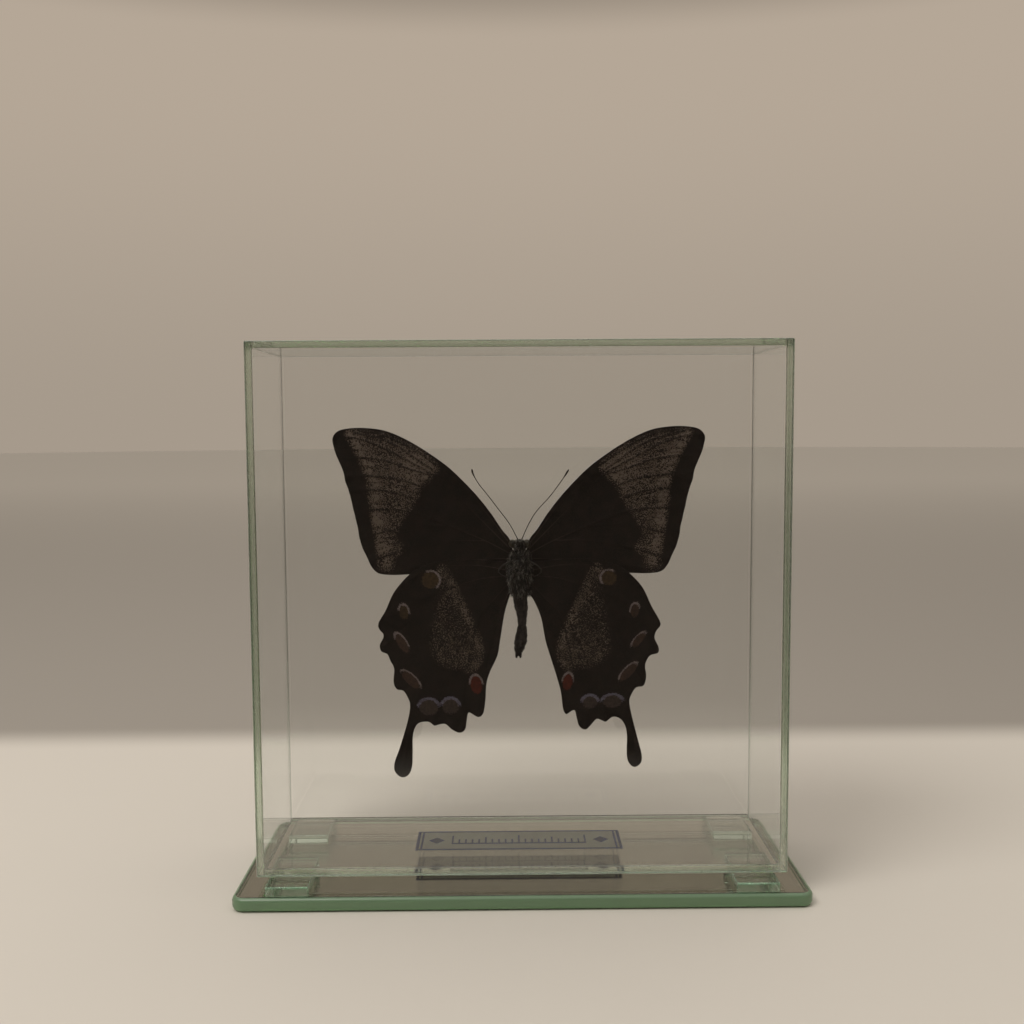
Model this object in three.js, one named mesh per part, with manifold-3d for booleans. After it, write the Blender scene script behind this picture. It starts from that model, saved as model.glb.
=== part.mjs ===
// A swallowtail butterfly, dried with its wings open, fixed upright in a glued glass case that stands on
// four clear blocks and a silvered glass base plate. Millimetres, +Z up. The origin is the centre of the
// base plate's underside, -Y is the side that the butterfly's underside faces, and -X is "left".

import * as THREE from "three";
import { mergeVertices } from "three/addons/utils/BufferGeometryUtils.js";
import Module from "manifold-3d";

const wasm = await Module();
wasm.setup();

// ---- Driving dimensions ----

const CASE_WIDTH = 150;
const CASE_DEPTH = 45;
const CASE_HEIGHT = 150;
const PANE_THICKNESS = 2;

const BASE_SIDE_OVERHANG = 5.8;
const BASE_FRONT_OVERHANG = 7.9;
const BASE_THICKNESS = 3.9;
const BASE_CORNER_RADIUS = 3.7;
const BASE_EDGE_ROUND = 1.3; // the ground edge is rounded off over this much, above and below

const BLOCK_WIDTH = 12;
const BLOCK_DEPTH = 19.5;
const BLOCK_HEIGHT = 2.8;
const BLOCK_SIDE_INSET = 3.7; // from the case's side face in to the block
const BLOCK_FRONT_INSET = 1.2; // from the base plate's front edge in to the front blocks
const BLOCK_BACK_INSET = 4.6; // from the base plate's back edge in to the back blocks

const LABEL_WIDTH = 61.6;
const LABEL_DEPTH = 14.8;
const LABEL_THICKNESS = 0.15;
const LABEL_CENTRE_X = -0.7;
const LABEL_CENTRE_Y = 1.2;

const THORAX_HEIGHT = 85; // centre of the thorax above the case's underside
const BODY_FORWARD = 1.2; // the body hangs this far in front of the wings' plane
const BODY_DEPTH_RATIO = 1.2; // depth of the body over its width
const WING_THICKNESS = 0.35;
const VEIN_RADIUS = 0.32; // veins are three-sided ridges that stand out of the underside
const WING_LEVEL_GAP = 0.45; // each wing pair lies this far from the plane between them
const WING_TIP_LIFT = 1.5; // the wing tips lie this far behind the roots
const WING_HALF_SPAN = 55;
const CLEARANCE = 0.3; // between the body and the wings or the post

const POST_RADIUS = 1.5;
const POST_DROP = 1; // below the centre of the thorax

// ---- Levels worked out from them ----

const BASE_WIDTH = CASE_WIDTH + 2 * BASE_SIDE_OVERHANG;
const BASE_DEPTH = CASE_DEPTH + 2 * BASE_FRONT_OVERHANG;
const CASE_BOTTOM = BASE_THICKNESS + BLOCK_HEIGHT;
const CASE_MIDDLE = CASE_BOTTOM + CASE_HEIGHT / 2;
const INNER_WIDTH = CASE_WIDTH - 2 * PANE_THICKNESS;
const INNER_DEPTH = CASE_DEPTH - 2 * PANE_THICKNESS;

// ---- Finishes ----

function finish(color, roughness, metalness = 0, opacity = 1) {
  return new THREE.MeshStandardMaterial({ color, roughness, metalness, opacity, transparent: opacity < 1 });
}

const paneGlass = finish("#cfdccb", 0.05, 0, 0.3);
const blockGlass = finish("#d3dccf", 0.08, 0, 0.4);
const silveredGlass = finish("#7f7a6c", 0.1, 0.6);
const printedFilm = finish("#8f9384", 0.4, 0, 0.6);
const clearRod = finish("#dfe5df", 0.08, 0, 0.4);
const forewingScales = finish("#3a3026", 0.85);
const hindwingScales = finish("#2f2720", 0.85);
const bodyHair = finish("#38332b", 0.95);
const darkHorn = finish("#2a221b", 0.6);

// ---- Small makers ----

function toSolid(geometry) {
  const bare = geometry.clone();
  bare.deleteAttribute("normal");
  bare.deleteAttribute("uv");
  const merged = mergeVertices(bare, 1e-4);
  return new wasm.Manifold(
    new wasm.Mesh({
      numProp: 3,
      vertProperties: merged.attributes.position.array,
      triVerts: new Uint32Array(merged.index.array),
    }),
  );
}

function toGeometry(solid) {
  const mesh = solid.getMesh();
  const geometry = new THREE.BufferGeometry();
  geometry.setAttribute("position", new THREE.BufferAttribute(mesh.vertProperties, 3));
  geometry.setIndex(new THREE.BufferAttribute(mesh.triVerts, 1));
  geometry.computeVertexNormals();
  return geometry;
}

function piece(name, geometry, material, x = 0, y = 0, z = 0) {
  const mesh = new THREE.Mesh(geometry, material);
  mesh.name = name;
  mesh.position.set(x, y, z);
  return mesh;
}

// A round rod of `sides` flats along a smooth curve through the points.
function rodThrough(points, radius, sides, steps) {
  const path = new THREE.CatmullRomCurve3(points.map((p) => new THREE.Vector3(...p)));
  const section = new THREE.Shape();
  for (let i = 0; i < sides; i += 1) {
    const turn = (2 * Math.PI * i) / sides;
    const corner = [radius * Math.cos(turn), radius * Math.sin(turn)];
    if (i === 0) section.moveTo(...corner);
    else section.lineTo(...corner);
  }
  section.closePath();
  return new THREE.ExtrudeGeometry(section, { steps, bevelEnabled: false, extrudePath: path });
}

function egg(radiusX, radiusY, radiusZ, x, y, z, turns = 12) {
  return new THREE.SphereGeometry(1, turns, turns / 2)
    .rotateX(Math.PI / 2)
    .scale(radiusX, radiusY, radiusZ)
    .translate(x, y, z);
}

// ---- Base plate and blocks ----

function basePlate() {
  const reachX = BASE_WIDTH / 2;
  const reachY = BASE_DEPTH / 2;
  const r = BASE_CORNER_RADIUS;
  const outline = new THREE.Shape();
  outline.absarc(reachX - r, reachY - r, r, 0, Math.PI / 2);
  outline.absarc(r - reachX, reachY - r, r, Math.PI / 2, Math.PI);
  outline.absarc(r - reachX, r - reachY, r, Math.PI, 1.5 * Math.PI);
  outline.absarc(reachX - r, r - reachY, r, 1.5 * Math.PI, 2 * Math.PI);
  const plate = new THREE.ExtrudeGeometry(outline, {
    depth: BASE_THICKNESS - 2 * BASE_EDGE_ROUND,
    bevelThickness: BASE_EDGE_ROUND,
    bevelSize: BASE_EDGE_ROUND,
    bevelOffset: -BASE_EDGE_ROUND,
    bevelSegments: 2,
    curveSegments: 4,
  }).translate(0, 0, BASE_EDGE_ROUND);
  return piece("base_plate", plate, silveredGlass);
}

function blocks() {
  const centreX = CASE_WIDTH / 2 - BLOCK_SIDE_INSET - BLOCK_WIDTH / 2;
  const frontY = BLOCK_FRONT_INSET - (BASE_DEPTH - BLOCK_DEPTH) / 2;
  const backY = (BASE_DEPTH - BLOCK_DEPTH) / 2 - BLOCK_BACK_INSET;
  const places = [
    ["block_front_left", -centreX, frontY],
    ["block_front_right", centreX, frontY],
    ["block_back_left", -centreX, backY],
    ["block_back_right", centreX, backY],
  ];
  return places.map(([name, x, y]) => {
    const block = new THREE.BoxGeometry(BLOCK_WIDTH, BLOCK_DEPTH, BLOCK_HEIGHT);
    return piece(name, block, blockGlass, x, y, BASE_THICKNESS + BLOCK_HEIGHT / 2);
  });
}

// ---- Glass case: front and back cover the edges of the sides, which hold the top and bottom ----

function casePanes() {
  const t = PANE_THICKNESS;
  const faceY = (CASE_DEPTH - t) / 2;
  const sideX = (CASE_WIDTH - t) / 2;
  const lidZ = (CASE_HEIGHT - t) / 2;
  const sheets = [
    ["pane_front", [CASE_WIDTH, t, CASE_HEIGHT], [0, -faceY, 0]],
    ["pane_back", [CASE_WIDTH, t, CASE_HEIGHT], [0, faceY, 0]],
    ["pane_left", [t, INNER_DEPTH, CASE_HEIGHT], [-sideX, 0, 0]],
    ["pane_right", [t, INNER_DEPTH, CASE_HEIGHT], [sideX, 0, 0]],
    ["pane_top", [INNER_WIDTH, INNER_DEPTH, t], [0, 0, lidZ]],
    ["pane_bottom", [INNER_WIDTH, INNER_DEPTH, t], [0, 0, -lidZ]],
  ];
  return sheets.map(([name, size, [x, y, z]]) =>
    piece(name, new THREE.BoxGeometry(...size), paneGlass, x, y, CASE_MIDDLE + z),
  );
}

function label() {
  const film = new THREE.BoxGeometry(LABEL_WIDTH, LABEL_DEPTH, LABEL_THICKNESS);
  return piece("label", film, printedFilm, LABEL_CENTRE_X, LABEL_CENTRE_Y, CASE_BOTTOM - LABEL_THICKNESS / 2);
}

// ---- Butterfly. Its own frame has the centre of the thorax at the origin of X and Z ----

// Half width of the body at heights from the crown down to the tip of the abdomen.
const BODY_PROFILE = [
  [8.3, 0],
  [7.9, 1.3],
  [6.4, 2.1],
  [5, 1.8],
  [3.6, 2.5],
  [1, 3.1],
  [-3, 3.1],
  [-7, 2.7],
  [-9.2, 2.05],
  [-11.5, 2],
  [-14.5, 1.45],
  [-17, 1.15],
  [-19.5, 1.6],
  [-21.9, 1.85],
  [-24.2, 1.5],
  [-26, 0.85],
  [-26.6, 0],
];

// Sideways bow of the dried abdomen.
function bodyBow(z) {
  const along = Math.min(Math.max((-9 - z) / 17, 0), 1);
  return 0.75 * Math.sin(Math.PI * along) - 0.6 * along * along;
}

function bodySolid(clearance) {
  const profile = BODY_PROFILE.map(([z, r]) => new THREE.Vector2(r === 0 ? 0 : r + clearance, z));
  profile[0].y += clearance;
  profile[profile.length - 1].y -= clearance;
  const trunk = new THREE.LatheGeometry(profile.reverse(), 16).rotateX(Math.PI / 2);
  trunk.scale(1, BODY_DEPTH_RATIO, 1);
  const spots = trunk.attributes.position;
  for (let i = 0; i < spots.count; i += 1) spots.setX(i, spots.getX(i) + bodyBow(spots.getZ(i)));
  let solid = toSolid(trunk);
  for (const side of [-1, 1]) {
    const eye = egg(1.1 + clearance, 1.45 + clearance, 1.25 + clearance, side * 2.1, -0.2, 6.9);
    const palp = egg(0.5, 0.75, 1.35, side * 0.65, -2.1, 6.9, 8);
    const clasper = egg(0.42, 0.55, 1.5, side * 0.55 - 0.55, 0, -25.9, 8);
    for (const lump of [eye, palp, clasper]) solid = solid.add(toSolid(lump));
  }
  return solid.translate(0, -BODY_FORWARD, 0);
}

// Right-hand forewing outline, X out from the body: costa, tip, outer margin, then the hind margin home.
const FOREWING_OUTLINE = [
  [2.6, 7.2], [5.4, 11.2], [8.3, 15.6], [12.1, 20.5], [16.4, 25.2], [20.8, 29.4], [25.8, 33.1],
  [30.8, 36.3], [35.6, 38.8], [40, 40.4], [45.3, 41.1], [50, 41], [53.3, 40.2], [54.9, 38.2],
  [54.6, 35.4], [53.6, 32.4], [52.4, 29.7], [51.7, 27.5], [51.3, 25.2], [50.3, 22.4], [49.6, 19.4],
  [49, 16.6], [48.5, 14.4], [47.9, 11.6], [47.4, 8.4], [46.5, 5.4], [44.9, 2], [44, 0], [42.2, -1.8],
  [39.2, -2.4], [33, -2.3], [24, -1.6], [14, -0.6], [6, 0.3], [2, 0.8],
];

// Hindwing outlines, left then right, X out from the body: costa, scallops, tail, hind scallops and the
// inner margin home.
const HINDWING_LEFT_OUTLINE = [
  [2, 0.6], [8, 1.6], [14, 2.2], [20, 2.2], [25.5, 1.3], [30, -0.5], [33.2, -2.7], [37.3, -7.5],
  [39.9, -13], [42.1, -16.8], [41.8, -18.8], [40.8, -19.8], [40.7, -21.2], [41.8, -23.4], [41.3, -25.3],
  [39.6, -26.1], [38.8, -27.8], [37.6, -30.6], [37.8, -34.6], [36.8, -36.7], [34.9, -37.2],
  [33.2, -40.2], [33.1, -43.2], [34.2, -48], [36.3, -54.7], [37.9, -59.2], [37.8, -61.8], [36.6, -63.3],
  [35.1, -63.6], [33.5, -62.6], [32.6, -60], [32.4, -55.5], [32.3, -51.2], [31.6, -48.4], [30.3, -46.9],
  [28.2, -46.6], [27, -46.9], [25.8, -47.8], [24.6, -47.5], [22.6, -47.3], [20.6, -48.9], [18.3, -50],
  [16.6, -49], [16.1, -46.2], [15.6, -43.9], [14.5, -44.2], [12.6, -45.2], [11.2, -44.2], [10.5, -40.5],
  [10.1, -35.1], [9, -31.4], [6.8, -26.6], [5.8, -21], [4.6, -14], [3, -8.6], [2, -5.8],
];
const HINDWING_RIGHT_OUTLINE = [
  [2, 0.6], [8, 1.6], [14, 2.2], [20, 2.2], [25.2, 1.4], [29.6, -0.2], [32.6, -2.3], [36.4, -6.5],
  [39.2, -12.3], [41.6, -16.6], [41.8, -18.3], [40.7, -19.5], [40.1, -21.8], [41.3, -24.6],
  [41.1, -26.4], [38.6, -27.2], [37.3, -30], [37.6, -33.5], [36.8, -36.1], [34.5, -36.8], [32.8, -39.6],
  [32.7, -42.3], [33.9, -47.6], [35.4, -53.4], [36.4, -57.6], [36, -59.9], [34.3, -61.1], [32.8, -60.2],
  [31.9, -57.6], [31.9, -51.2], [31.2, -48], [29.8, -46.1], [28.2, -45.5], [27, -45.9], [25.6, -47],
  [24.6, -46.7], [22.8, -46.1], [21.2, -47.8], [19.4, -49.3], [17.6, -48.3], [16.8, -45.8],
  [16.2, -43.4], [14.8, -43.9], [13.6, -44.5], [12.7, -42.8], [12.1, -38], [11.1, -34], [9.4, -28.4],
  [7.6, -22.4], [6.2, -15.2], [4, -9.9], [2, -6.6],
];

// The wings' main veins, as the points that each runs through.
const FOREWING_VEINS = [
  [[2.8, 6.6], [12, 18.6], [22, 28.4], [32, 35.2], [40, 38.9], [47, 40.2]],
  [[2.8, 5.2], [12, 14.6], [20, 22.6], [26, 27.6], [32.4, 31.2], [40, 35.2], [47, 37.8], [53, 38.6]],
  [[26, 27.2], [31.5, 28.7], [39, 31.3], [46, 32.3], [52.6, 32.4]],
  [[26, 27.2], [28.6, 23.6], [29.6, 19.6], [28, 15]],
  [[28.6, 23.6], [35, 25.8], [43, 26.9], [50.8, 27.2]],
  [[29.6, 19.6], [37, 22.1], [44.4, 22.8], [49.6, 22.4]],
  [[2.8, 3.8], [10, 7.6], [18, 11], [28, 15], [36, 16.8], [43, 17], [48.2, 16.6]],
  [[20, 11.9], [29, 12.2], [39, 10.6], [46.6, 8.4]],
  [[10, 7.6], [20, 7.6], [34, 5], [43.6, 1.8]],
  [[2.8, 2.4], [14, 1.8], [28, 0.2], [39.6, -1.4]],
];
const HINDWING_VEINS = [
  [[2.6, -1.2], [12, 0.4], [21, 0.3], [29, -1.6], [34.6, -5.4]],
  [[2.6, -2.6], [12, -3.6], [20, -6.2], [28, -9.2], [35, -12.6], [40.6, -17]],
  [[22, -7], [25.4, -10.6], [24.5, -15], [21, -18.4], [15, -17.4]],
  [[25.4, -10.6], [33, -16.8], [40.2, -23.4]],
  [[24.5, -15], [31, -24.4], [36.8, -34.4]],
  [[21, -18.4], [26.8, -30], [31.6, -41], [33.2, -49], [34.2, -56]],
  [[15, -17.4], [20.6, -30], [24, -39.4], [25.6, -46.2]],
  [[2.6, -4.2], [8, -10], [12, -14.8], [15, -27], [17, -39], [18.2, -48]],
  [[3, -6.6], [6.4, -15], [9.6, -26], [11.8, -36], [12.6, -43]],
];

// How far the wings' middle surface lies behind the plane of the roots, with shallow folds fanning out.
const FOLD_DEPTH = 0.15;
const FOLDS_PER_TURN = 10;
function wingSweep(x, z) {
  const lift = WING_TIP_LIFT * (x / WING_HALF_SPAN) ** 2;
  const reach = Math.hypot(x, z) / WING_HALF_SPAN;
  return lift + FOLD_DEPTH * reach * Math.sin(FOLDS_PER_TURN * Math.atan2(z, Math.abs(x)));
}

const WING_CELL = 7; // size of the facets of a wing's face

function wing(outline, veins, side, level) {
  const points = outline.map(([x, z]) => new THREE.Vector2(side * x, z));
  const box = new THREE.Box2().setFromPoints(points).expandByScalar(2);
  const size = box.getSize(new THREE.Vector2());
  const centre = box.getCenter(new THREE.Vector2());
  const cellsX = Math.round(size.x / WING_CELL);
  const cellsZ = Math.round(size.y / WING_CELL);
  const sheet = new THREE.BoxGeometry(size.x, WING_THICKNESS, size.y, cellsX, 1, cellsZ);
  sheet.translate(centre.x, level, centre.y);
  const spots = sheet.attributes.position;
  for (let i = 0; i < spots.count; i += 1) {
    spots.setY(i, spots.getY(i) + wingSweep(spots.getX(i), spots.getZ(i)));
  }
  let solid = toSolid(sheet);
  for (const vein of veins) {
    const path = vein.map(([x, z]) => [side * x, level + wingSweep(x, z), z]);
    solid = solid.add(toSolid(rodThrough(path, VEIN_RADIUS, 3, vein.length - 1)));
  }
  const cutter = new THREE.ExtrudeGeometry(new THREE.Shape(points), { depth: 20, bevelEnabled: false });
  cutter.rotateX(Math.PI / 2).translate(0, 10, 0);
  return toGeometry(solid.intersect(toSolid(cutter)).subtract(bodySolid(CLEARANCE)));
}

// Feelers: a fine stalk with a club at its end.
const ANTENNA_LEFT = [
  [-0.5, 8.5], [-3, 12.8], [-6.1, 17], [-9.5, 21.5], [-12, 24.7], [-13.5, 27.4], [-13.9, 29],
];
const ANTENNA_RIGHT = [
  [0.6, 8.5], [2.6, 12.5], [4.9, 16.3], [8.7, 20.5], [11.4, 24], [13.5, 27], [14.5, 28.7],
];
const ANTENNA_RADIUS = 0.16;
const CLUB_RADIUS = 0.34;

function antenna(name, route) {
  const stalk = toSolid(rodThrough(route.map(([x, z]) => [x, -BODY_FORWARD, z]), ANTENNA_RADIUS, 5, 14));
  const [endX, endZ] = route[route.length - 1];
  const [kneeX, kneeZ] = route[route.length - 2];
  const club = egg(CLUB_RADIUS, CLUB_RADIUS, 1.3, 0, 0, 0, 8);
  club.rotateY(Math.atan2(endX - kneeX, endZ - kneeZ));
  club.translate((endX + kneeX) / 2, -BODY_FORWARD, (endZ + kneeZ) / 2);
  return piece(name, toGeometry(stalk.add(toSolid(club))), darkHorn);
}

// Legs folded under the thorax: hip, knee, ankle and toe, for the left side.
const LEG_RADIUS = 0.22;
const LEG_ROUTES = {
  front: [[1.1, -4.3, 3.6], [2.3, -5.3, 5.4], [3.3, -4.7, 3.4], [2.9, -4.9, 1.3]],
  middle: [[2.1, -4.05, 2.2], [5.2, -3.4, 0.6], [6.2, -2.4, -1.4], [3.6, -3.7, -3]],
  hind: [[1.5, -4.9, -1.6], [2.4, -4.8, -5.2], [1.4, -4.5, -8.6], [1, -4, -12.6]],
};

function legs() {
  const made = [];
  for (const [row, route] of Object.entries(LEG_ROUTES)) {
    for (const [word, side] of [["left", -1], ["right", 1]]) {
      const path = route.map(([x, y, z]) => [side * x, y, z]);
      made.push(piece(`leg_${row}_${word}`, rodThrough(path, LEG_RADIUS, 5, 9), darkHorn));
    }
  }
  return made;
}

// Tongue, coiled upright between the front legs, its outer end at the mouth.
const TONGUE_RADIUS = 0.1;
const COIL_TURNS = 2;
const COIL_INNER = 0.25;
const COIL_OUTER = 0.95;

function proboscis() {
  const path = [];
  const stepsPerTurn = 10;
  const steps = stepsPerTurn * COIL_TURNS;
  for (let i = 0; i <= steps; i += 1) {
    const turn = (2 * Math.PI * i) / stepsPerTurn;
    const reach = COIL_INNER + ((COIL_OUTER - COIL_INNER) * i) / steps;
    path.push([0, reach * Math.cos(turn), reach * Math.sin(turn)]);
  }
  return piece("proboscis", rodThrough(path, TONGUE_RADIUS, 5, steps), darkHorn, 0.5, -4.75, 4.6);
}

function butterfly() {
  const insect = new THREE.Group();
  const behind = WING_LEVEL_GAP;
  const ahead = -WING_LEVEL_GAP;
  insect.add(
    piece("butterfly_body", toGeometry(bodySolid(0)), bodyHair),
    piece("forewing_left", wing(FOREWING_OUTLINE, FOREWING_VEINS, -1, behind), forewingScales),
    piece("forewing_right", wing(FOREWING_OUTLINE, FOREWING_VEINS, 1, behind), forewingScales),
    piece("hindwing_left", wing(HINDWING_LEFT_OUTLINE, HINDWING_VEINS, -1, ahead), hindwingScales),
    piece("hindwing_right", wing(HINDWING_RIGHT_OUTLINE, HINDWING_VEINS, 1, ahead), hindwingScales),
    antenna("antenna_left", ANTENNA_LEFT),
    antenna("antenna_right", ANTENNA_RIGHT),
    ...legs(),
    proboscis(),
  );
  insect.position.set(0, 0, CASE_BOTTOM + THORAX_HEIGHT);
  return insect;
}

// A clear rod glued to the back pane carries the insect by its back.
function mountingPost() {
  const back = BODY_PROFILE[6][1] * BODY_DEPTH_RATIO - BODY_FORWARD + CLEARANCE;
  const length = INNER_DEPTH / 2 - back;
  const rod = new THREE.CylinderGeometry(POST_RADIUS, POST_RADIUS, length, 24);
  return piece("mounting_post", rod, clearRod, 0, back + length / 2, CASE_BOTTOM + THORAX_HEIGHT - POST_DROP);
}

const part = new THREE.Group();
part.add(basePlate(), ...blocks(), ...casePanes(), label(), mountingPost(), butterfly());

export default part;
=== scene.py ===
import math

import bpy
import numpy as np
from mathutils import Matrix, Vector


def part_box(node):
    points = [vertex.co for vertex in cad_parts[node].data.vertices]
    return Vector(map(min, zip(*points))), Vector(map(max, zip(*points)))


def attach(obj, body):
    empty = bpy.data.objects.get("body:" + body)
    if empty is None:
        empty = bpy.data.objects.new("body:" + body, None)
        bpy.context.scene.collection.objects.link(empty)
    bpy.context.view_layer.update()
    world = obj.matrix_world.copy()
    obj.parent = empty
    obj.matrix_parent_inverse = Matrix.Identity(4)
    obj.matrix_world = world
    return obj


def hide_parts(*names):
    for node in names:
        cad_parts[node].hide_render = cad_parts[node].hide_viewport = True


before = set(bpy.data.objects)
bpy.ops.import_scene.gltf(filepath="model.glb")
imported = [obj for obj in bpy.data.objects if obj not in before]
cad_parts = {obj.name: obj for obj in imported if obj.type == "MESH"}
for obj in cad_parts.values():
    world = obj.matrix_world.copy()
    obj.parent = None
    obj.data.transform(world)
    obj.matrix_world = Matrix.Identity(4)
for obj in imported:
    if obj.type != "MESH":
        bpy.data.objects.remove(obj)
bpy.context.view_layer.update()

MM = 0.001

# ---- Base plate ----
# A plate of green float glass with rounded corners and a ground, rounded edge. Its underside is silvered, so
# that its top is a mirror seen through the glass. Everything else is glued on top of it.


def alone(piece):
    """Leaves one piece selected and active."""
    bpy.ops.object.select_all(action="DESELECT")
    piece.select_set(True)
    bpy.context.view_layer.objects.active = piece


def cut_block(name, low, high):
    """A block between two corners, with its place in its mesh."""
    bpy.ops.object.select_all(action="DESELECT")
    bpy.ops.mesh.primitive_cube_add(size=1, location=(low + high) / 2, scale=high - low)
    bpy.ops.object.transform_apply(location=True, rotation=True, scale=True)
    piece = bpy.context.object
    piece.name = piece.data.name = name
    return piece


def round_edges(piece, radius, segments, wanted=lambda a, b: True):
    """Bevels the edges whose two ends answer to wanted."""
    alone(piece)
    bpy.ops.object.mode_set(mode="EDIT")
    bpy.ops.mesh.select_mode(type="EDGE")
    bpy.ops.mesh.select_all(action="DESELECT")
    bpy.ops.object.mode_set(mode="OBJECT")
    for edge in piece.data.edges:
        edge.select = wanted(*(piece.data.vertices[i].co for i in edge.vertices))
    bpy.ops.object.mode_set(mode="EDIT")
    bpy.ops.mesh.bevel(offset=radius, segments=segments, affect="EDGES", clamp_overlap=True)
    bpy.ops.object.mode_set(mode="OBJECT")


def add_modifier(piece, kind, **settings):
    """Adds a modifier and applies it."""
    alone(piece)
    modifier = piece.modifiers.new(kind.title(), kind)
    for key, value in settings.items():
        setattr(modifier, key, value)
    bpy.ops.object.modifier_apply(modifier=modifier.name)


def upright(start, end):
    """Whether an edge between two corners stands upright."""
    return abs(start.z - end.z) > 0.05 * MM


def srgb(red, green, blue):
    """A colour of 0 to 255 as the linear values that a shader takes."""
    linear = []
    for channel in (red, green, blue):
        share = channel / 255
        linear.append(share / 12.92 if share < 0.04 else ((share + 0.055) / 1.055) ** 2.4)
    return (*linear, 1)


def new_material(name):
    """A material with its node tree and its surface shader."""
    material = bpy.data.materials.new(name)
    material.use_nodes = True
    return material, material.node_tree, material.node_tree.nodes["Principled BSDF"]


def feed(tree, shader, inputs):
    """Gives a shader or another node its inputs, each a value or the output that feeds it."""
    for key, value in inputs.items():
        if isinstance(value, bpy.types.NodeSocket):
            tree.links.new(value, shader.inputs[key])
        else:
            shader.inputs[key].default_value = value


def node(tree, kind, inputs=None, **settings):
    """A shader node with its settings and its inputs."""
    made = tree.nodes.new("ShaderNode" + kind)
    for key, value in settings.items():
        setattr(made, key, value)
    feed(tree, made, inputs or {})
    return made


def ramp(tree, value, low, high, to_low=0.0, to_high=1.0):
    """The value taken from low..high to another range, with soft ends."""
    inputs = {"Value": value, "From Min": low, "From Max": high, "To Min": to_low, "To Max": to_high}
    return node(tree, "MapRange", inputs, interpolation_type="SMOOTHSTEP").outputs["Result"]


def grain(tree, scale, detail=2.0, stretch=(1, 1, 1), vector=None):
    """Noise in the piece's own coordinates, scale being ripples to a metre."""
    if vector is None:
        vector = node(tree, "TexCoord").outputs["Object"]
    placed = node(tree, "Mapping", {"Vector": vector, "Scale": stretch}).outputs["Vector"]
    return node(tree, "TexNoise", {"Vector": placed, "Scale": scale, "Detail": detail}).outputs["Fac"]


def two_tones(tree, value, first, second, low=0.0, high=1.0):
    """One of the colours between two, as the value goes from low to high."""
    tones = node(tree, "ValToRGB", {"Fac": value})
    start, end = tones.color_ramp.elements
    start.position, start.color = low, first
    end.position, end.color = high, second
    return tones.outputs["Color"]


GLASS_IOR = 1.52
SMEAR_GRAIN, GRIT_GRAIN = 60, 2500
GRIT_SPREAD = 0.04  # by how much the roughness of ground glass goes up and down


def tint_depth(tree, tint, per_metre):
    """Tints light by how far it goes inside the piece."""
    depth = node(tree, "VolumeAbsorption", {"Color": tint, "Density": per_metre})
    tree.links.new(depth.outputs["Volume"], tree.nodes["Material Output"].inputs["Volume"])


def float_glass(name, tint, per_metre, haze):
    """Clear glass that greens with depth. Faint smears vary its roughness between the two values of haze."""
    material, tree, glass = new_material(name)
    smears = ramp(tree, grain(tree, SMEAR_GRAIN, 3), 0.45, 0.75, *haze)
    feed(tree, glass, {"Base Color": (1, 1, 1, 1), "Transmission Weight": 1})
    feed(tree, glass, {"IOR": GLASS_IOR, "Roughness": smears})
    tint_depth(tree, tint, per_metre)
    return material


def ground_glass(name, tint, per_metre, surface, clarity, roughness):
    """The same glass where it is cut and ground: its surface scatters part of the light."""
    material, tree, glass = new_material(name)
    grit = grain(tree, GRIT_GRAIN, 3)
    darker = tuple(0.95 * c for c in surface) + (1,)
    lighter = tuple(min(1, 1.05 * c) for c in surface) + (1,)
    pale = two_tones(tree, grit, darker, lighter)
    uneven = ramp(tree, grit, 0.2, 0.8, roughness - GRIT_SPREAD, roughness + GRIT_SPREAD)
    feed(tree, glass, {"Base Color": pale, "Transmission Weight": clarity})
    feed(tree, glass, {"IOR": GLASS_IOR, "Roughness": uneven})
    tint_depth(tree, tint, per_metre)
    return material


BASE_TINT = (0.2, 0.62, 0.34, 1)
BASE_TINT_PER_METRE = 22
base_glass = float_glass("base glass", BASE_TINT, BASE_TINT_PER_METRE, (0.0, 0.03))
rim_glass = ground_glass("ground base edge", BASE_TINT, BASE_TINT_PER_METRE, (0.44, 0.70, 0.42), 0.7, 0.32)

silvering, tree, metal = new_material("silvering")
tarnish = grain(tree, 90, 4)
patina = two_tones(tree, tarnish, (0.56, 0.515, 0.472, 1), (0.68, 0.63, 0.58, 1))
dulled = ramp(tree, tarnish, 0.3, 0.8, 0.03, 0.07)
feed(tree, metal, {"Base Color": patina, "Roughness": dulled, "Metallic": 1})

BASE_CORNER_RADIUS = 3.7 * MM
BASE_EDGE_ROUND = 1.3 * MM
SHARP_EDGE = math.radians(40)
LEVEL_NORMAL = 0.99  # upward part of the normal of a face that lies level
BASE_RIM, BASE_UNDERSIDE = 1, 2  # which of the plate's three materials they take
low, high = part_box("base_plate")
base = cut_block("base_plate_glass", low, high)
round_edges(base, BASE_CORNER_RADIUS, 12, upright)
add_modifier(base, "BEVEL", width=BASE_EDGE_ROUND, segments=6, limit_method="ANGLE", angle_limit=SHARP_EDGE)
for material in (base_glass, rim_glass, silvering):
    base.data.materials.append(material)
for face in base.data.polygons:
    face.use_smooth = abs(face.normal.z) < LEVEL_NORMAL
    if face.use_smooth:
        face.material_index = BASE_RIM
    elif face.normal.z < 0:
        face.material_index = BASE_UNDERSIDE
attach(base, "root")
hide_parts("base_plate")

# ---- Spacer blocks ----
# Four small blocks cut from clear glass, glued flat between the base plate and the case so that the case
# stands clear of the mirror. The glue line is a film that is hardly seen.

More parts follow.
